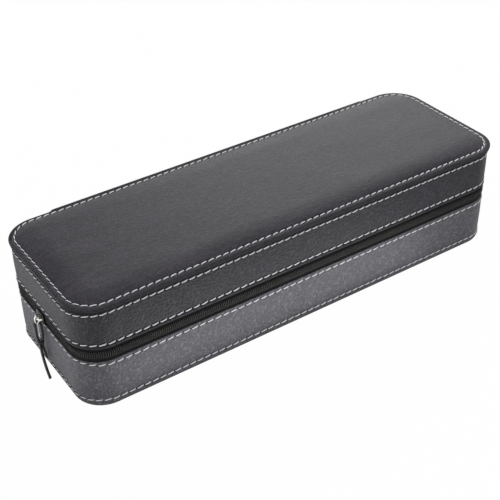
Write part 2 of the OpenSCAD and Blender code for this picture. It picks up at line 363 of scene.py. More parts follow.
def paintedFoldShade():
    # painted shade on the lid wall's upper edge, in the fold under the lip, and on the base's foot; lighter
    # along the front as painted light
    return edgeTonesLitAtFront("paintedFoldShade", [(32, 31, 34), (40, 39, 42), (50, 49, 53)], [(4, 4, 5), (6, 6, 7), (9, 9, 10)])


def threadFinish():
    material, tree, place = newFinish("whiteThread", 0.3)
    fibres = speckle(tree, place, 0.25)
    mixed = total(tree, (speckle(tree, place, 4), 0.5), (fibres, 0.5))
    colour = tones(tree, mixed, [(230, 230, 234), (242, 242, 246), (250, 250, 254)])
    return surface(material, colour, fibres, (0.6, 0.85), fibres, 0.08)


def holeFinish():
    # near-black: painted shade in the needle holes
    material, tree, place = newFinish("needleHole", 0.1)
    dust = speckle(tree, place, 0.3)
    return surface(material, tones(tree, dust, [(14, 13, 15), (24, 23, 26)]), dust, (0.8, 0.95), dust, 0.05)


def tapeFinish():
    material, tree, place = newFinish("zipTape", 0.25)
    weave, cross = [put(tree, "TexWave", Vector=place, Scale=scale, Distortion=0.4, bands_direction=way,
                        Detail=1.0).outputs["Fac"] for scale, way in ((1.1, "Z"), (0.8, "DIAGONAL"))]
    yarn = total(tree, (weave, 0.5), (cross, 0.5))
    return surface(material, tones(tree, yarn, [(18, 18, 19), (31, 31, 32)]), yarn, (0.8, 0.95), yarn, 0.15)


def coilFinish():
    material, tree, place = newFinish("zipCoil", 0.5)
    scuff = speckle(tree, place, 0.6)
    mixed = total(tree, (scuff, 0.5), (speckle(tree, place, 6), 0.5))
    colour = tones(tree, mixed, [(38, 40, 37), (58, 60, 56), (84, 86, 81)])
    return surface(material, colour, scuff, (0.34, 0.55), scuff, 0.03)


def nickelFinish():
    material, tree, place = newFinish("nickel", 0.5, Metallic=1.0)
    wear = speckle(tree, place, 0.9, 5)
    colour = tones(tree, wear, [(196, 193, 188), (228, 226, 222), (242, 241, 238)])
    return surface(material, colour, wear, (0.14, 0.32), speckle(tree, place, 0.5), 0.02)


def darkNickel():
    # the slider's body is coloured darker than its bail
    material, tree, place = newFinish("darkNickel", 0.5, Metallic=1.0)
    wear = speckle(tree, place, 0.8, 5)
    colour = tones(tree, wear, [(30, 29, 28), (44, 42, 41), (62, 60, 57)])
    return surface(material, colour, wear, (0.24, 0.42), wear, 0.03)


def velvetFinish(name, colours, nap):
    material, tree, place = newFinish(name, 0.15, Sheen_Weight=0.35, Sheen_Roughness=0.4,
                                      Sheen_Tint=shade(*colours[-1]))
    pile = speckle(tree, place, 0.3, 3, 0.7)
    brushed = speckle(tree, inMillimetres(tree, (1, 0.45, 1)), nap, 4, 0.55)
    colour = tones(tree, total(tree, (brushed, 0.7), (pile, 0.3)), colours)
    return surface(material, colour, pile, (0.85, 0.98), total(tree, (pile, 0.25), (brushed, 0.15)), 1.0)


def boardFinish():
    material, tree, place = newFinish("fibreboard", 0.2)
    fibre = speckle(tree, inMillimetres(tree, (0.3, 0.3, 1)), 0.7, 4)
    mixed = total(tree, (fibre, 0.6), (speckle(tree, place, 9), 0.4))
    colour = tones(tree, mixed, [(128, 110, 84), (152, 134, 106), (172, 155, 128)])
    return surface(material, colour, fibre, (0.75, 0.92), fibre, 0.2)


def foamFinish():
    material, tree, place = newFinish("foam", 0.1)
    cells = put(tree, "TexVoronoi", Vector=place, Scale=1.6, Randomness=1.0).outputs["Distance"]
    mixed = total(tree, (cells, 0.6), (speckle(tree, place, 12), 0.4))
    colour = tones(tree, mixed, [(188, 184, 168), (216, 212, 198)])
    return surface(material, colour, cells, (0.85, 0.98), cells, 0.4)


finishes = {
    "top": topLeather(), "lid": lidLeather(), "wall": baseLeather(), "hinge": hingeLeather(),
    "lace": laceLeather(), "edge": edgePaintLitAtFront(), "fold": paintedFoldShade(),
    "thread": threadFinish(), "hole": holeFinish(), "tape": tapeFinish(), "coil": coilFinish(),
    "nickel": nickelFinish(), "darkNickel": darkNickel(), "board": boardFinish(), "foam": foamFinish(),
    "lining": velvetFinish("liningVelvet", [(26, 25, 28), (34, 33, 37), (46, 45, 50)], 14),
    "pillow": velvetFinish("pillowVelvet", [(92, 91, 96), (112, 111, 116), (134, 133, 138)], 16),
}

# the CAD nodes that stay get the finish of their slot
slotFinish = {
    "cover_leather": "wall", "wall_foam": "foam", "fibreboard": "board", "velvet_lining": "lining",
    "zip_tape": "tape", "zip_coil": "coil", "nickel": "nickel", "lace_leather": "lace",
    "pillow_velvet": "pillow", "pillow_foam": "foam",
}
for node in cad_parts.values():
    for place in node.material_slots:
        base = place.material.name.split(".")[0] if place.material else ""
        place.material = finishes[slotFinish.get(base, "board")]
print("finishes ready")

# The walls' face seen from above: four corner centres and the corners' radius
plan = {"halfX": 143.0, "halfY": 33.0, "corner": 20.8}


def outlineLength(out=0.0):
    return 4 * (plan["halfX"] + plan["halfY"]) + 2 * pi * (plan["corner"] + out)


def walkOutline(distance, out=0.0):
    # a place on the outline, out millimetres outside the walls' face, counted from the middle
    # of the back round by the left end: corner or straight base, outward way, straight run, turn
    radius = plan["corner"] + out
    at, way, normal = Vector((0, plan["halfY"])), Vector((-1, 0)), Vector((0, 1))
    straight = turned = 0.0
    for run in (plan["halfX"], 2 * plan["halfY"], 2 * plan["halfX"], 2 * plan["halfY"], plan["halfX"]):
        step = min(distance, run)
        at = at + way * step
        straight += step
        distance -= step
        if distance <= 1e-9:
            break
        turn = min(distance / radius, pi / 2)
        spin = Matrix.Rotation(turn, 2)
        way, normal = spin @ way, spin @ normal
        turned += turn
        distance -= turn * radius
        if distance <= 1e-9 and turn < pi / 2:
            break
    return at, normal, straight, turned


def place3d(column, out, z):
    at, normal = column[0], column[1]
    reach = plan["corner"] + out
    return Vector((at.x + normal.x * reach, at.y + normal.y * reach, z))


def columnsAround(count, start=0.0, stop=None):
    # columns round the whole case, or from start to stop for what leaves the hinge open
    if stop is None:
        return [walkOutline(outlineLength() * k / count) for k in range(count)]
    return [walkOutline(start + (stop - start) * k / count) for k in range(count + 1)]


def skin(rows, shut=False, capped=False):
    # quads between closed rows of points; shut joins the last row to the first, capped fills both ends
    count = len(rows[0])
    points = [p for row in rows for p in row]
    faces = []
    for r in range(len(rows) if shut else len(rows) - 1):
        low, high = r * count, (r + 1) % len(rows) * count
        for c in range(count):
            d = (c + 1) % count
            faces.append((low + c, low + d, high + d, high + c))
    if capped:
        faces += [tuple(reversed(range(count))), tuple(range(len(points) - count, len(points)))]
    return points, faces


def addPiece(name, shape, finish, weld=0.0, second=None):
    # shape is (points, faces); second says which faces take the second of two finishes
    mesh = bpy.data.meshes.new(name)
    mesh.from_pydata([Vector(p) * mm for p in shape[0]], [], shape[1])
    mesh.update()
    piece = bpy.data.objects.new(name, mesh)
    scene.collection.objects.link(piece)
    for each in (finish if isinstance(finish, tuple) else (finish,)):
        mesh.materials.append(finishes[each])
    if second:
        mesh.polygons.foreach_set("material_index", [int(marked) for marked in second])
    if weld:
        weldMesh(mesh, weld * mm)
    mesh.polygons.foreach_set("use_smooth", [True] * len(mesh.polygons))
    return piece


def weldMesh(mesh, gap):
    work = bmesh.new()
    work.from_mesh(mesh)
    bmesh.ops.remove_doubles(work, verts=work.verts, dist=gap)
    bmesh.ops.dissolve_degenerate(work, edges=work.edges, dist=gap / 2)
    bmesh.ops.recalc_face_normals(work, faces=work.faces)
    work.to_mesh(mesh)
    work.free()


def settle(piece, body, slot, *nodes):
    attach(piece, body)
    if nodes:
        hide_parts(*nodes)
    return piece


def joined(shapes):
    # several shapes as one
    points, faces = [], []
    for somePoints, someFaces in shapes:
        shift = len(points)
        points += somePoints
        faces += [tuple(i + shift for i in f) for f in someFaces]
    return points, faces


def movedTo(place, shape):
    return [Vector(place) + Vector(p) for p in shape[0]], shape[1]


def ease(value, start, stop):
    t = min(1.0, max(0.0, (value - start) / (stop - start)))
    return t * t * (3 - 2 * t)


def boxy(value, power):
    # squares off a sine or cosine
    return abs(value) ** power * (1 if value > 0 else -1)


def tube(path, size, sides=8, closed=False):
    # a round wire of radius size, or a strap where size is (half width, half thickness), its width along Y
    flat = isinstance(size, tuple)
    rows = []
    count = len(path)
    for k, point in enumerate(path):
        point = Vector(point)
        before = Vector(path[k - 1]) if k or closed else point
        after = Vector(path[(k + 1) % count]) if k < count - 1 or closed else point
        ahead = (after - before).normalized()
        if flat:
            side = Vector((0, 1, 0))
        elif not k:
            side = ahead.orthogonal().normalized()
        side = (side - ahead * side.dot(ahead)).normalized()
        over = ahead.cross(side)
        ring = []
        for j in range(sides):
            angle = 2 * pi * (j + 0.5) / sides
            if flat:
                a, b = boxy(cos(angle), 0.45) * size[0], boxy(sin(angle), 0.45) * size[1]
            else:
                a, b = cos(angle) * size, sin(angle) * size
            ring.append(point + side * a + over * b)
        rows.append(ring)
    return skin(rows, shut=closed, capped=not closed)


def smoothPath(knots, steps):
    # a curve through the knots
    path = []
    for k in range(len(knots) - 1):
        p0 = Vector(knots[max(k - 1, 0)])
        p1, p2 = Vector(knots[k]), Vector(knots[k + 1])
        p3 = Vector(knots[min(k + 2, len(knots) - 1)])
        for s in range(steps):
            t = s / steps
            path.append(0.5 * (2 * p1 + (p2 - p0) * t + (2 * p0 - 5 * p1 + 4 * p2 - p3) * t * t
                               + (3 * p1 - p0 - 3 * p2 + p3) * t ** 3))
    path.append(Vector(knots[-1]))
    return path


# left is a seam's height round the left end, right how far it stands out round the right end
seams = {
    "top": {"body": "lid", "out": -2.65, "z": 74.2, "left": 74.2, "pitch": 5.2},
    "lidUpper": {"body": "lid", "out": 0.0, "z": 69.2, "left": 68.0, "pitch": 5.35},
    "lidLower": {"body": "lid", "out": 0.0, "z": 47.05, "left": 46.8, "pitch": 5.75},
    "baseUpper": {"body": "base", "out": 0.0, "z": 31.65, "left": 33.3, "pitch": 5.7},
    "baseLower": {"body": "base", "out": 0.0, "z": 4.4, "left": 3.5, "right": -0.6, "pitch": 5.37},
}
sewing = {
    "sink": 0.24, "pucker": 0.16, "spread": 0.62, "long": 4.95, "wide": 0.82, "high": 0.43,
    "sides": 8, "rings": 9, "blunt": 3.8, "dive": 1.7, "bedded": 0.12, "tip": 0.02, "twist": 0.1,
    "flatness": 0.75, "slimLeft": 0.36, "tilt": 9.0, "tiltWobble": 4, "longWobble": 0.05,
    "hole": 0.42, "holeLong": 1.2,
}


def leftward(normal):
    return max(0.0, -normal.x)


def rightward(normal):
    return max(0.0, normal.x)


def realPitch(seam):
    length = outlineLength(seam["out"])
    return length / round(length / seam["pitch"])


def seamShift(seam, normal):
    # a wall's seam lies a little higher or lower round the left end
    return (seam["left"] - seam["z"]) * leftward(normal) ** 2


def drawnIn(seam, column, distance):
    # how far the seam pulls the leather in, at a distance from its line; most at the needle holes
    along = column[2] + column[3] * (plan["corner"] + seam["out"])
    hole = 0.5 + 0.5 * cos(2 * pi * along / realPitch(seam))
    return exp(-(distance / sewing["spread"]) ** 2) * (sewing["sink"] + sewing["pucker"] * hole)


def oneStitch(middle, ahead, outward, length, slim=1.0):
    # a short length of twisted thread whose ends dive into the leather
    across = outward.cross(ahead).normalized()
    sides, rings = sewing["sides"], sewing["rings"]
    rows = []
    for r in range(rings):
        t = -1 + 2 * r / (rings - 1)
        thick = slim * sewing["wide"] / 2 * max(0.0, 1 - abs(t) ** sewing["blunt"]) ** 0.5 + sewing["tip"]
        lift = sewing["high"] * (1 - sewing["dive"] * t ** 6) - sewing["bedded"]
        centre = middle + ahead * (t * length / 2) + outward * lift
        ring = []
        for j in range(sides):
            angle = 2 * pi * j / sides
            ply = thick * (1 + sewing["twist"] * cos(2 * angle + 7 * t))
            high = sewing["flatness"] * ply * sin(angle)
            ring.append(centre + across * (ply * cos(angle)) + outward * high)
        rows.append(ring)
    return skin(rows, capped=True)


def needleHole(middle, ahead, outward):
    # a small dimple where the thread goes down, coloured near-black as painted shade in the hole
    across = outward.cross(ahead).normalized()
    turns = [2 * pi * j / sewing["sides"] for j in range(sewing["sides"])]
    rows = []
    radius, long = sewing["hole"], sewing["holeLong"]
    for wide, high in ((0.15, -0.25), (1.0, -0.1), (1.15, 0.02), (0.6, 0.06), (0.1, 0.05)):
        rows.append([middle + (ahead * cos(turn) * long + across * sin(turn)) * radius * wide
                     + outward * high for turn in turns])
    return skin(rows, capped=True)


def addSeam(name):
    seam = seams[name]
    pitch, out = realPitch(seam), seam["out"]
    threads, holes = [], []
    for k in range(round(outlineLength(out) / pitch)):
        for half, made in ((0.5, threads), (0.0, holes)):
            column = walkOutline((k + half) * pitch, out)
            normal = column[1]
            outward = Vector((0, 0, 1)) if name == "top" else Vector((normal.x, normal.y, 0))
            ahead = Vector((-normal.y, normal.x, 0))
            middle = place3d(column, out + seam.get("right", 0.0) * rightward(normal) ** 2,
                             seam["z"] + seamShift(seam, normal))
            if made is holes:
                made.append(needleHole(middle - outward * sewing["sink"], ahead, outward))
                continue
            wobble = noise.noise(Vector((k * 1.7, seam["z"], 3.1)))
            lean = radians(sewing["tilt"] + sewing["tiltWobble"] * wobble)
            ahead = Matrix.Rotation(lean, 3, outward) @ ahead
            slim = 1 - sewing["slimLeft"] * leftward(normal) ** 2
            long = sewing["long"] * (1 + sewing["longWobble"] * wobble)
            made.append(oneStitch(middle, ahead, outward, long, slim))
    shape = joined(threads + holes)
    threadFaces = sum(len(faces) for points, faces in threads)
    inHole = [i >= threadFaces for i in range(len(shape[1]))]
    settle(addPiece("seam_" + name, shape, ("thread", "hole"), second=inHole), seam["body"], "cover_leather")


band = {
    "columns": 1248, "thick": 1.0, "swell": 0.32, "roll": 0.22, "rollHigh": 2.4, "bend": 0.5,
    "cutBend": 0.15, "flare": 0.62, "flareFrom": 1.95, "flareHigh": 0.95, "tuck": 1.0, "tuckHigh": 2.6,
    "foldShadeFrom": 0.45,
    "lump": 0.07, "lumpSize": 16, "shiftReach": 9.0, "edge": 0.75,
    "besideSeam": (-2.0, -1.3, -0.85, -0.5, -0.2, 0.0, 0.2, 0.5, 0.85, 1.3, 2.0),
    "betweenSeams": (0.14, 0.22, 0.32, 0.42, 0.5, 0.58, 0.68, 0.78, 0.86),
    "aboveLowEdge": (0.85, 1.0, 1.15, 1.3, 1.45, 1.6, 1.75, 1.9),
}


def edgeRoll(z, way, bend, flare=0.0):
    # (out, z) round one edge of the band, from its inner side to its face
    thick = band["thick"]
    return [(-thick, z - way * bend), (-thick + bend * 0.3, z - way * bend * 0.3), (-thick + bend, z),
            (-bend + flare, z), (-bend * 0.3 + flare, z - way * bend * 0.3), (0.02 + flare, z - way * bend)]


def wallProfile(low, high, seamLow, seamHigh, highTurned):
    # (out, z) round the band's section; the lower edge flares, the upper one is turned or cut square
    run = seamHigh - seamLow
    heights = [seam + step for seam in (seamLow, seamHigh) for step in band["besideSeam"]]
    heights += [seamLow + run * share for share in band["betweenSeams"]]
    heights += [low + step for step in band["aboveLowEdge"]]
    outer = []
    for z in sorted(z for z in heights if low + band["edge"] < z < high - band["edge"]):
        t = (z - seamLow) / run
        edge = min(z - low, high - z)
        swell = 0.0
        if 0 < t < 1:
            swell = band["swell"] * sin(pi * t) ** 0.6
        elif t < 0.5:
            swell = band["flare"] * ease(band["flareFrom"] - edge, 0.0, band["flareHigh"])
        elif highTurned:
            swell = band["roll"] * sin(pi * min(1, edge / band["rollHigh"]))
        outer.append((swell, z))
    start = edgeRoll(low, -1, band["bend"], band["flare"])
    end = list(reversed(edgeRoll(high, 1, band["bend"] if highTurned else band["cutBend"])))
    inner = [(-band["thick"], high - (high - low) * share) for share in (0.25, 0.5, 0.75)]
    return start + outer + end + inner


foot = {"right": 0.7, "rightHigh": 30, "left": 1.5, "leftHigh": 8}


def footTaper(column, z):
    # the base draws in a little towards its foot at the right end, and is fuller at the near left corner
    normal = column[1]
    corner = leftward(normal) * max(0.0, -normal.y)
    return (foot["right"] * rightward(normal) ** 2 * max(0.0, 1 - z / foot["rightHigh"])
            - foot["left"] * corner * max(0.0, 1 - z / foot["leftHigh"]))


def addWall(name, low, high, lowSeam, highSeam, finish, underLip=False):
    columns = columnsAround(band["columns"])
    profile = wallProfile(low, high, lowSeam["z"], highSeam["z"], not underLip)
    rows = []
    for out, z in profile:
        row = []
        for column in columns:
            sunk = lump = tucked = 0.0
            if out > -band["thick"] / 2:
                sunk = sum(drawnIn(seam, column, z - seam["z"]) for seam in (lowSeam, highSeam))
            if out > -0.1:
                lump = band["lump"] * noise.noise(place3d(column, out - sunk, z) / band["lumpSize"])
            if underLip:
                deep = band["tuck"] * (0.5 + leftward(column[1]))
                tucked = deep * max(0.0, 1 - (high - z) / band["tuckHigh"]) ** 1.5
            level = z
            for seam, rim in ((lowSeam, low), (highSeam, high)):
                away, toRim = z - seam["z"], rim - seam["z"]
                reach = abs(toRim) if away * toRim > 0 else band["shiftReach"]
                level += seamShift(seam, column[1]) * max(0.0, 1 - abs(away) / reach)
            row.append(place3d(column, out - sunk + lump - tucked - footTaper(column, z), level))
        rows.append(row)
    if not underLip:
        return addPiece(name, skin(rows, shut=True), finish, weld=0.001)
    # the wall's top under the lip takes the painted fold shade
    inFoldShade = [z > highSeam["z"] + band["foldShadeFrom"] for out, z in profile for column in columns]
    return addPiece(name, skin(rows, shut=True), (finish, "fold"), weld=0.001, second=inFoldShade)


lidWallBox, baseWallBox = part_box("lid_wall_cover"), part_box("base_wall_cover")
lidWall = addWall("lid_wall", lidWallBox[0].z / mm, lidWallBox[1].z / mm,
                  seams["lidLower"], seams["lidUpper"], "lid", underLip=True)
settle(lidWall, "lid", "cover_leather", "lid_wall_cover", "lid_wall_foam")
baseWall = addWall("base_wall", baseWallBox[0].z / mm + 0.65, baseWallBox[1].z / mm,
                   seams["baseLower"], seams["baseUpper"], "wall")
settle(baseWall, "base", "cover_leather", "base_wall_cover", "base_wall_foam")

top = {
    "under": 71.8, "edge": 74.2, "rise": 2.7, "rampStart": -3.4, "rampWide": 16.4,
    "rampRadius": 51.16, "level": -19.8, "unevenness": 0.10, "sinkShare": 1.3,
    "lift": 0.2, "roll": 0.5, "rollWide": 2.2, "edgeRows": 8, "rimRows": 9, "wider": 0.85,
    # the lip's section from its underside round to the top: (out, height above under)
    "section": [(-2.7, -0.07), (0.4, -0.07), (0.75, 0.06), (0.98, 0.3), (1.05, 0.55), (0.95, 0.8),
                (0.5, 0.92), (0.5, 1.02), (1.0, 1.12), (1.2, 1.32), (1.17, 1.58), (1.0, 1.82),
                (0.7, 2.05), (0.3, 2.24), (-0.2, 2.38), (-0.8, 2.5), (-1.3, 2.57)],
    "pastSeam": (-0.9, -0.6, -0.3, 0.0, 0.3, 0.6, 0.95, 1.4, 2.0, 2.8, 3.8, 5.0, 6.5, 8.2, 10.0, 12.0,
                 14.0, 15.6),
    # the shell's inside, back out to the lip: (out, height above edge)
    "inside": [(-19.8, 1.0), (-10.0, 0.3), (-3.4, -1.0), (0.2, -1.0), (0.2, -1.8), (-2.7, -1.8)],
}


def widerLip(column):
    # the lip stands out a little further round its right end
    at, normal = column[:2]
    share = rightward(normal) ** 1.5 + max(0.0, normal.y) ** 1.5 * ease(at.x, 90, 125)
    return top["wider"] * min(1.0, share)


def crownHeight(out):
    # the padded top rises in one soft arc inside its seam
    along = min(max(top["rampStart"] - out, 0.0), top["rampWide"])
    radius = top["rampRadius"]
    arc = top["rise"] - radius + sqrt(radius ** 2 - (top["rampWide"] - along) ** 2)
    puff = top["lift"] + top["roll"] * (1 - exp(-max(0.0, seams["top"]["out"] - out) / top["rollWide"]))
    return top["edge"] + arc + puff * (1 - along / top["rampWide"]) ** 2


def toMiddle(row, steps, reach=110.0):
    # carries a ring in to the case's middle line
    goals = [Vector((max(-reach, min(reach, p.x)), 0, p.z)) for p in row]
    return [[p.lerp(goal, s / steps) for p, goal in zip(row, goals)] for s in range(1, steps + 1)]


def filled(rings, steps):
    # closes a band of rings over the middle, above and below
    return list(reversed(toMiddle(rings[0], steps))) + rings + toMiddle(rings[-1], steps)


def addTop():
    columns = columnsAround(band["columns"])
    edge, seamOut = top["edge"], seams["top"]["out"]
    profile = [(out, top["under"] + high) for out, high in top["section"]]
    profile += [(out, None) for out in [seamOut - step for step in top["pastSeam"]] + [top["level"]]]
    rows = []
    for out, z in profile:
        height = crownHeight(out) if z is None else z
        row = []
        for column in columns:
            sunk = drawnIn(seams["top"], column, out - seamOut) if z is None or z > edge else 0.0
            rim = widerLip(column) * ease(out, seamOut - 1.0, 0.0)
            row.append(place3d(column, out + rim, height - top["sinkShare"] * sunk))
        rows.append(row)
    rows += toMiddle(rows[-1], 9)
    for row in rows:
        for p in row:
            inside = min(1.0, max(0.0, p.z - edge))
            p.z += inside * top["unevenness"] * (noise.noise(Vector((p.x / 38, p.y / 16, 0.3)))
                                                 + 0.5 * noise.noise(Vector((p.x / 14, p.y / 8, 5.0))))
    innerRows = [[place3d(column, out, edge + high) for column in columns] for out, high in top["inside"]]
    shape = skin(list(reversed(toMiddle(innerRows[0], 2))) + innerRows + rows)
    # the lip's side takes the edge paint, whose front copy is lighter as painted light; on the back and
    # right it reaches further up the rim; the rest is leather
    first = (len(shape[1]) // len(columns) - len(rows)) * len(columns)
    painted = []
    for i in range(len(shape[1])):
        row, normal = (i - first) // len(columns), columns[i % len(columns)][1]
        farSide = max(normal.x, normal.y) > 0.3
        painted.append(0 <= row < top["edgeRows"] + (top["rimRows"] if farSide else 0))
    return addPiece("lid_top", shape, ("top", "edge"), weld=0.004, second=painted)


lidTop = settle(addTop(), "lid", "cover_leather", "lid_top_cover", "lid_top_foam")

for seamName in seams:
    addSeam(seamName)

bottom = {"out": 0.1, "thick": 1.2, "level": -19.8, "columns": 312, "fill": 3, "shadedRows": 4}


def addBottom():
    columns = columnsAround(bottom["columns"])
    out, thick = bottom["out"], bottom["thick"]
    above = [(bottom["level"], thick), (out - 1.3, thick), (out - 1.1, thick + 0.5),
             (out - 0.55, thick + 0.6), (out - 0.2, thick + 0.48), (out, thick + 0.15)]
    below = [(out + 0.02, 0.8), (out - 0.08, 0.55), (out - 0.28, 0.25), (out - 0.6, 0.06), (out - 1.2, 0.0),
             (bottom["level"], 0.0)]
    rows = [[place3d(column, o - footTaper(column, z), z) for column in columns] for o, z in above + below]
    shape = skin(filled(rows, bottom["fill"]))
    # the foot's rounding is coloured dark as painted shade
    first = (bottom["fill"] + len(above) + 1) * len(columns)
    shadedFoot = [0 <= i - first < bottom["shadedRows"] * len(columns) for i in range(len(shape[1]))]
    return addPiece("base_bottom", shape, ("wall", "fold"), weld=0.004, second=shadedFoot)


settle(addBottom(), "base", "cover_leather", "base_bottom_cover")
print("leather covers and seams ready")

zipper = {
    "middle": 39.1, "end": 125.0, "tapeOut": -1.0, "tapeThick": 0.8, "slot": 0.55,
    "lower": 28.0, "upper": 50.2, "pitch": 1.35, "wire": 0.28, "half": 2.5, "gap": 0.37,
    "hook": -0.2, "slideFrom": -34.0, "slideTo": 34.0, "turnSteps": 8, "wireSides": 6,
    "coilOut": -0.4, "coilDeep": 0.3, "cord": 0.17, "cordStep": 0.58, "cordAt": 1.33, "cordWave": 0.06,
}


def addTape(name, low, high, body, node):
    columns = columnsAround(600, zipper["end"], outlineLength() - zipper["end"])
    face, back = zipper["tapeOut"], zipper["tapeOut"] - zipper["tapeThick"]
    shares = ((0.0, -0.2), (0.03, -0.05), (0.08, 0), (0.3, 0), (0.5, 0), (0.7, 0), (0.92, 0), (0.97, -0.05),
              (1.0, -0.2))
    edges = [(low + (high - low) * share, inset) for share, inset in shares]
    profile = [(face + inset, z) for z, inset in edges] + [(back - inset, z) for z, inset in reversed(edges)]
    rows = [[place3d(column, out, z) for out, z in profile] for column in columns]
    settle(addPiece(name, skin(rows, capped=True), "tape", weld=0.001), body, "zip_tape", node)


def addCoil(name, side, body, node):
    # one wound wire, sewn down along its outer edge; its heads hook into the other half's,
    # but stay clear of the slider's post along the left end
    start, stop = zipper["end"] + 0.3, outlineLength() - zipper["end"] - 0.3
    turns, steps, wire = round((stop - start) / zipper["pitch"]), zipper["turnSteps"], zipper["wire"]
    path = []
    for k in range(turns * steps + 1):
        angle = 2 * pi * (k / steps)
        column = walkOutline(start + (stop - start) * k / (turns * steps))
        atSlider = zipper["slideFrom"] < place3d(column, 0, 0).y < zipper["slideTo"]
        head = zipper["gap"] if column[1].x < -0.999 and atSlider else zipper["hook"]
        far, near = zipper["half"] - wire, head + wire
        height = (far + near) / 2 + (far - near) / 2 * cos(angle)
        out = zipper["coilOut"] + zipper["coilDeep"] * sin(angle)
        path.append(place3d(column, out, zipper["middle"] + side * height))
    cord, step = [], zipper["cordStep"]
    for k in range(int((stop - start) / step)):
        out = zipper["cord"] + zipper["cordWave"] * (-1) ** k
        cord.append(place3d(walkOutline(start + k * step), out, zipper["middle"] + side * zipper["cordAt"]))
    shape = joined([tube(path, wire, zipper["wireSides"]), tube(cord, zipper["cord"], 5)])
    # the far half of each turn of the wire takes the tape's black as painted shade between the turns, and
    # the cord takes the tape's finish
    sides = zipper["wireSides"]
    wireFaces = turns * steps * sides + 2
    paintedShadeAndCord = [i >= wireFaces or i // sides % steps >= steps // 2 for i in range(len(shape[1]))]
    settle(addPiece(name, shape, ("coil", "tape"), second=paintedShadeAndCord), body, "zip_coil", node)


addTape("zip_tape_up", zipper["middle"] + zipper["slot"], zipper["upper"], "lid", "zip_tape_upper")
addTape("zip_tape_down", zipper["lower"], zipper["middle"] - zipper["slot"], "base", "zip_tape_lower")
addCoil("zip_coil_up", 1, "lid", "zip_coil_upper")
addCoil("zip_coil_down", -1, "base", "zip_coil_lower")
print("zip ready")

slider = {
    "x": -163.8, "y": 2.0, "z": 39.1, "long": 10.0, "tall": 7.6, "corner": 2.4, "outer": (-1.5, -0.5),
    "inner": (2.1, 3.1), "bailRadius": 2.4, "bailFoot": -1.2, "bar": 2.0, "wire": 1.1,
}


def roundedPlate(half, tall, corner, depths):
    # a plate whose rim is rounded: depths are (distance along X, inset)
    rows = []
    for depth, inset in depths:
        r = max(0.05, corner - inset)
        ring = []
        for q, (sy, sz) in enumerate(((1, 1), (-1, 1), (-1, -1), (1, -1))):
            for s in range(9):
                angle = pi / 2 * (q + s / 8)
                ring.append(Vector((depth, sy * (half - corner) + r * cos(angle),
                                    sz * (tall - corner) + r * sin(angle))))
        rows.append(ring)
    return skin(rows, capped=True)


def plateDepths(near, far, rim=0.3):
    return [(near, rim * 1.6), (near + rim * 0.3, rim * 0.5), (near + rim, 0.0), (far - rim, 0.0),
            (far - rim * 0.3, rim * 0.5), (far, rim * 1.6)]


def addSlider():
    half, tall = slider["long"] / 2, slider["tall"] / 2
    parts = [roundedPlate(half, tall, slider["corner"], plateDepths(*slider[plate]))
             for plate in ("outer", "inner")]
    parts.append(roundedPlate(half - 1.6, tall - 1.1, 1.2, [(-1.45, 0.0), (-1.7, 0.1), (-1.8, 0.5)]))
    parts.append(roundedPlate(1.0, 0.35, 0.2, [(-1.0, 0.0), (2.6, 0.0)]))
    # the flanges that hold the coil in
    for side, x, places in ((-1, -0.55, (-2.5, -1.2, 0, 1.2, 2.5)), (1, -0.9, (-3.0, -1.5, 0, 1.5, 3.0))):
        parts.append(tube([(x, y, side * (tall - 0.35)) for y in places], 0.4, 10))
    bend, bar, low = slider["bailRadius"], slider["bar"] / 2, slider["bailFoot"]
    arch = [(low + 0.3, bar + bend, 0)]
    arch += [(low - bend * sin(a), bar + bend * cos(a), 0) for a in (pi / 2 * s / 8 for s in range(9))]
    arch += [(x, -y, z) for x, y, z in reversed(arch)]
    bodyFaces = sum(len(faces) for points, faces in parts)
    points, faces = joined(parts + [tube(arch, slider["wire"] / 2, 12)])
    shape = movedTo((slider["x"], slider["y"], slider["z"]), (points, faces))
    inBail = [i >= bodyFaces for i in range(len(faces))]
    return addPiece("slider", shape, ("darkNickel", "nickel"), second=inBail)


settle(addSlider(), "slider", "nickel", "zip_slider")

pull = {
    "barX": -167.4, "link": 1.2, "linkWire": 1.0, "side": 2.6, "shank": 0.9, "knob": 1.7, "length": 10.4,
}


def addPull():
    link, wire, side = pull["link"], pull["linkWire"] / 2, pull["side"]
    path = [(link * cos(a), 0, link * sin(a)) for a in (pi * s / 12 for s in range(13))]
    path += [(-x, 0, -z - side) for x, y, z in path]
    head = -side - link
    tip = head - pull["length"]
    thick, ball = pull["shank"] / 2, pull["knob"] / 2
    outline = [(head + 0.35, 0.1), (head + 0.2, 0.62), (head - 0.4, 0.66), (head - 1.0, 0.5),
               (head - 1.8, thick), (tip + 2.2, thick), (tip + 1.4, thick * 1.15)]
    outline += [(tip + ball * cos(a), ball * sin(a)) for a in (radians(40 + 140 * s / 8) for s in range(8))]
    outline.append((tip - ball, 0.05))
    turns = [2 * pi * j / 16 for j in range(16)]
    rows = [[Vector((r * cos(turn), r * sin(turn), z)) for turn in turns] for z, r in outline]
    shape = joined([tube(path, wire, 10, closed=True), skin(rows, capped=True)])
    return addPiece("pull", movedTo((pull["barX"], slider["y"], slider["z"]), shape), "nickel", weld=0.001)


settle(addPull(), "pull", "nickel", "zip_pull")

# the loop's right half, the two tails and the keeper that holds them, from the pull's bar
lace = {
    "wide": 2.1, "thick": 1.5,
    "right": [(0.9, 0.0, -21.5), (0.9, 0, -19.8), (0.95, 0, -18.2), (1.6, 0, -16.2), (1.95, 0, -13.6),
              (1.95, 0, -9.0), (1.95, 0.1, -6.6), (1.6, 1.45, -5.2), (0.0, 2.2, -4.5)],
    "shortTail": [(1.9, 0.1, -32.4), (1.75, 0.05, -30.5), (1.3, 0, -26.5), (0.8, 0, -23.0)],
    "longTail": [(-0.75, -0.2, -23.0), (-1.2, -2.2, -27.0), (-1.9, -6.2, -31.5), (-2.5, -10.6, -35.0),
                 (-2.9, -14.4, -37.3)],
    "keeper": (1.75, 1.72, -18.6), "keeperWire": 0.42,
}


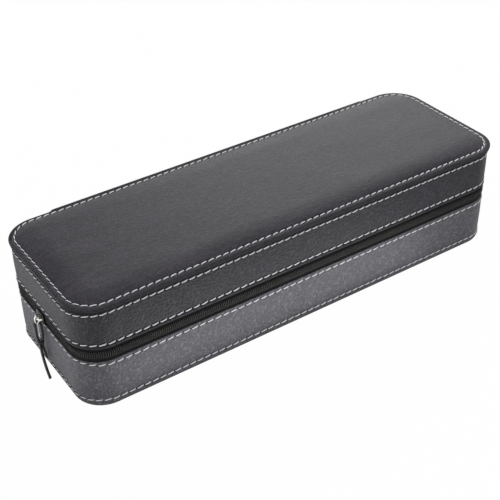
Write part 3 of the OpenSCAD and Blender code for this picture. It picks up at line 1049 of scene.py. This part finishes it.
def addLace():
    right = lace["right"]
    knots = lace["shortTail"] + right + [(-x, y, z) for x, y, z in reversed(right[:-1])] + lace["longTail"]
    strap = tube(smoothPath(knots, 5), (lace["wide"] / 2, lace["thick"] / 2), 12)
    halfX, halfY, z = lace["keeper"]
    turns = [2 * pi * (s + 0.5) / 28 for s in range(28)]
    ring = [(halfX * boxy(cos(turn), 0.6), halfY * boxy(sin(turn), 0.6), z) for turn in turns]
    shape = joined([strap, tube(ring, lace["keeperWire"], 8, closed=True)])
    return addPiece("lace", movedTo((pull["barX"], slider["y"], slider["z"]), shape), "lace")


settle(addLace(), "lace", "lace_leather", "pull_lace")
print("slider, pull and lace ready")

hinge = {
    "long": 258.0, "low": 8.0, "high": 74.1, "face": 56.2, "back": 55.0, "corner": 3.0,
    "foldLow": 35.6, "foldHigh": 42.6, "foldY": 56.4, "seam": 3.0, "pitch": 5.4, "bedded": 0.47,
}
webbing = {"long": 249.8, "low": 10.0, "high": 71.7, "face": 54.98, "back": 53.8, "corner": 1.0}
gusset = {"long": 245.0, "low": 34.0, "high": 44.2, "face": 52.8, "back": 52.0, "corner": 0.5}


def rectRing(sheet, inset, y, step=1.4):
    # a rounded rectangle standing at the back, evenly stepped
    halfLong, corner = sheet["long"] / 2, sheet["corner"]
    halfTall, middle = (sheet["high"] - sheet["low"]) / 2, (sheet["high"] + sheet["low"]) / 2
    acrossSteps, upSteps = ceil(2 * (halfLong - corner) / step), ceil(2 * (halfTall - corner) / step)
    r = max(0.02, corner - inset)
    extra = max(0.0, inset - corner + 0.02)
    ring = []
    for q, (sx, sz) in enumerate(((1, 1), (-1, 1), (-1, -1), (1, -1))):
        centre = Vector((sx * (halfLong - corner - extra), 0, sz * (halfTall - corner - extra)))
        nextCentre = Vector((centre.x, 0, -centre.z)) if q % 2 else Vector((-centre.x, 0, centre.z))
        steps = upSteps if q % 2 else acrossSteps
        spots = [(centre, pi / 2 * (q + s / 6)) for s in range(7)]
        spots += [(centre.lerp(nextCentre, s / steps), pi / 2 * (q + 1)) for s in range(1, steps)]
        ring += [Vector((at.x + r * cos(angle), y, middle + at.z + r * sin(angle))) for at, angle in spots]
    return ring


def addHingeSheet(name, sheet, finish):
    # a flat panel with soft edges, with finer rings near its fold
    back, face = sheet["back"], sheet["face"]
    thick, halfTall = face - back, (sheet["high"] - sheet["low"]) / 2
    sides = [(0.0, back + thick / 2), (0.06, face - 0.28 * thick), (0.3, face - 0.06 * thick), (0.7, face)]
    insets = [1.5, 2.3, 2.7, 3.0, 3.3, 3.7, 4.5]
    run = 6.0
    while run < halfTall - 0.3:
        insets.append(run)
        run += 1.6 if run < halfTall - 9 else 0.6
    insets = [i for i in insets if i < halfTall - 0.25]
    rings = [rectRing(sheet, inset, back) for inset in reversed(insets)]
    rings += [rectRing(sheet, inset, back + face - y) for inset, y in reversed(sides[1:])]
    rings += [rectRing(sheet, inset, y) for inset, y in sides + [(inset, face) for inset in insets]]
    reach, middle = sheet["long"] / 2 - halfTall, (sheet["low"] + sheet["high"]) / 2
    first, last = [[Vector((max(-reach, min(reach, p.x)), p.y, middle)) for p in ring]
                   for ring in (rings[0], rings[-1])]
    piece = addPiece(name, skin([first] + rings + [last]), finish, weld=0.004)
    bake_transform(piece)
    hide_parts(name + "_upper", name + "_lower")


def addHingeSeam():
    # the panel's own white seam, left out over the fold
    inset, depth = hinge["seam"], hinge["face"] - hinge["bedded"]
    half = hinge["long"] / 2 - inset
    low, high = hinge["low"] + inset, hinge["high"] - inset
    halves = (("base", low, low, hinge["foldLow"] - 1), ("lid", high, hinge["foldHigh"] + 1, high))
    for body, row, start, stop in halves:
        stitches = []
        runs = ((-half, half, row, row), (-half, -half, start, stop), (half, half, start, stop))
        for x0, x1, z0, z1 in runs:
            count = round(max(x1 - x0, z1 - z0) / hinge["pitch"])
            ahead = Vector((1, 0, 0)) if x1 > x0 else Vector((0, 0, 1))
            for k in range(count):
                share = (k + 0.5) / count
                middle = Vector((x0 + (x1 - x0) * share, depth, z0 + (z1 - z0) * share))
                stitches.append(oneStitch(middle, ahead, Vector((0, 1, 0)), sewing["long"]))
        settle(addPiece("seam_hinge_" + body, joined(stitches), "thread"), body, "cover_leather")


addHingeSheet("hinge_panel", hinge, "hinge")
addHingeSeam()
addHingeSheet("hinge_webbing", webbing, "tape")
addHingeSheet("hinge_lining", gusset, "lining")
print("hinge ready")


def addRing(name, profile):
    columns = columnsAround(240)
    rows = [[place3d(column, out, z) for column in columns] for out, z in profile]
    return addPiece(name, skin(rows, shut=True), "lining", weld=0.001)


collar = [(-5.6, 4.5), (-5.6, 24.0), (-5.6, 42.6), (-5.5, 43.2), (-5.2, 43.65), (-4.8, 43.8), (-4.4, 43.65),
          (-4.1, 43.2), (-4.0, 42.6), (-4.0, 38.0), (-3.98, 35.2), (-3.7, 34.6), (-3.1, 34.42), (-2.2, 34.4),
          (-1.9, 34.3), (-1.9, 34.02), (-2.4, 34.02), (-3.9, 34.02), (-4.05, 33.6), (-4.05, 20.0),
          (-4.05, 4.5)]
settle(addRing("base_lining", collar), "base", "velvet_lining", "base_collar")
lidInner = [(-5.0, 71.7), (-5.0, 58.0), (-5.0, 45.2), (-4.9, 44.6), (-4.6, 44.0), (-4.2, 43.86),
            (-3.0, 43.86), (-2.2, 43.86), (-1.9, 43.95), (-1.9, 44.18), (-2.6, 44.18), (-3.9, 44.18),
            (-4.05, 44.6), (-4.05, 58.0), (-4.05, 71.7)]
settle(addRing("lid_lining", lidInner), "lid", "velvet_lining", "lid_wall_lining")


def addLayer(name, out, profile):
    # a filled layer: its profile goes from the upper middle over the rim to the lower middle
    columns = columnsAround(240)
    rings = [[place3d(column, out - inset, z) for column in columns] for inset, z in profile]
    return addPiece(name, skin(filled(rings, 6)), "lining", weld=0.004)


floorLining = addLayer("floor_lining", -4.02, [(15.5, 4.4), (8, 4.4), (1.2, 4.4), (0.3, 4.3), (0, 4.05),
                                               (0, 3.7), (0.2, 3.45), (15.5, 3.42)])
settle(floorLining, "base", "velvet_lining", "base_floor_lining")
lidPad = addLayer("lid_cushion", -5.15, [(14.4, 71.75), (4, 71.75), (0.6, 71.7), (0.1, 71.3), (0.0, 70.6),
                                         (0.25, 69.6), (0.9, 68.8), (2.0, 68.25), (3.8, 67.95), (6.5, 67.85),
                                         (10, 67.8), (14.4, 67.8)])
settle(lidPad, "lid", "velvet_lining", "lid_pad")


def addDivider(name):
    low, high = (Vector(c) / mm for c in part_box(name))
    middle = (low + high) / 2
    halfThick, halfDeep, tall = (high.x - low.x) / 2, (high.y - low.y) / 2, high.z - low.z
    rows = []
    for share, inset in ((-1.0, 0.55), (-0.985, 0.2), (-0.96, 0), (-0.5, 0), (0, 0), (0.5, 0), (0.96, 0),
                         (0.985, 0.2), (1.0, 0.55)):
        y, thick = share * halfDeep, halfThick - inset
        centre = tall - halfThick - inset * 0.5
        ring = [(thick * cos(a), y, centre + thick * sin(a)) for a in (pi * s / 8 for s in range(9))]
        ring += [(-thick, y, z * tall) for z in (0.5, 0.25, 0.0)]
        ring += [(thick, y, z * tall) for z in (0.0, 0.25, 0.5)]
        rows.append(ring)
    shape = movedTo((middle.x, middle.y, low.z + 0.02), skin(rows, capped=True))
    settle(addPiece("velvet_" + name, shape, "lining", weld=0.001), "base", "velvet_lining", name)


for k in range(1, 6):
    addDivider(f"divider_{k}")

pillow = {
    "wide": 43.6, "deep": 77.0, "high": 35.0, "cell": 2.6, "pressure": 4.0, "cap": 1.6, "frames": 20,
    "soft": 0.35, "softSize": 13, "piping": 0.75, "pipingIn": 1.8, "pipingOut": 0.2,
    # the roll's ends: (share of the half width, inset)
    "ends": ((-1, 4.2), (-0.985, 2.4), (-0.93, 0.9), (-0.8, 0.15), (-0.4, 0), (0, 0), (0.4, 0), (0.8, 0.15),
             (0.93, 0.9), (0.985, 2.4), (1, 4.2)),
}


def evaluated(piece):
    return bpy.data.meshes.new_from_object(piece.evaluated_get(bpy.context.evaluated_depsgraph_get()))


def stadium(x, radius, steps):
    # a pillow's section: two half rounds and the straight runs between them
    flat = (pillow["deep"] - pillow["high"]) / 2
    turns = [2 * pi * s / steps for s in range(steps)]
    return [Vector((x, (flat if cos(turn) >= 0 else -flat) + radius * cos(turn), radius * sin(turn)))
            for turn in turns]


def puffUp(piece):
    # fills the cover with stuffing: cloth under pressure, with a limit on how far it moves
    remesh = piece.modifiers.new("remesh", "REMESH")
    remesh.mode = "VOXEL"
    remesh.voxel_size = pillow["cell"] * mm
    start = evaluated(piece)
    piece.modifiers.clear()
    piece.data = start
    before = [v.co.copy() for v in start.vertices]
    cloth = piece.modifiers.new("cloth", "CLOTH")
    cloth.settings.quality = 5
    cloth.settings.mass = 0.2
    cloth.settings.tension_stiffness = 12
    cloth.settings.use_pressure = True
    cloth.settings.uniform_pressure_force = pillow["pressure"]
    cloth.settings.effector_weights.gravity = 0
    cloth.point_cache.frame_start, cloth.point_cache.frame_end = 1, pillow["frames"]
    for step in range(1, pillow["frames"] + 1):
        scene.frame_set(step)
    after = evaluated(piece)
    piece.modifiers.clear()
    scene.frame_set(1)
    limit = pillow["cap"] * mm
    for vertex, old in zip(after.vertices, before):
        move = vertex.co - old
        if move.length > limit:
            vertex.co = old + move * (limit / move.length)
    piece.data = after


def addPillows():
    rows = [stadium(share * pillow["wide"] / 2, pillow["high"] / 2 - inset, 48)
            for share, inset in pillow["ends"]]
    first = addPiece("pillow_roll", skin(rows, capped=True), "pillow", weld=0.001)
    puffUp(first)
    softened = first.modifiers.new("soften", "SUBSURF")
    softened.levels = softened.render_levels = 1
    mesh = evaluated(first)
    mesh.materials.clear()
    mesh.materials.append(finishes["pillow"])
    mesh.polygons.foreach_set("use_smooth", [True] * len(mesh.polygons))
    for k in range(1, 7):
        low, high = (Vector(c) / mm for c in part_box(f"pillow_cover_{k}"))
        middle = (low + high) / 2
        copy = mesh.copy()
        flip = -1 if k % 2 else 1
        for vertex in copy.vertices:
            p = vertex.co / mm
            p = Vector((p.x * flip, p.y * flip, p.z))
            soft = noise.noise(p / pillow["softSize"] + Vector((k * 7.3, 0, 0))) * pillow["soft"]
            p += p.normalized() * soft
            vertex.co = (p + middle) * mm
        piece = bpy.data.objects.new(f"pillow_{k}", copy)
        scene.collection.objects.link(piece)
        settle(piece, f"pillow_{k}", "pillow_velvet", f"pillow_cover_{k}", f"pillow_core_{k}")
        addPiping(k, middle, copy)
    bpy.data.objects.remove(first)


def addPiping(k, middle, cover):
    # the corded seam between the roll and its two ends, laid on the pillow's surface
    shell = BVHTree.FromPolygons([v.co / mm for v in cover.vertices],
                                 [tuple(p.vertices) for p in cover.polygons])
    cords = []
    for side in (-1, 1):
        path = []
        for point in stadium(side * (pillow["wide"] / 2 - pillow["pipingIn"]), pillow["high"] / 2 + 0.2, 96):
            near, outward = shell.find_nearest(middle + point)[:2]
            path.append(near + outward * pillow["pipingOut"])
        cords.append(tube(path, pillow["piping"], 8, closed=True))
    settle(addPiece(f"pillow_piping_{k}", joined(cords), "pillow"), f"pillow_{k}", "pillow_velvet")


addPillows()
print("inside ready")
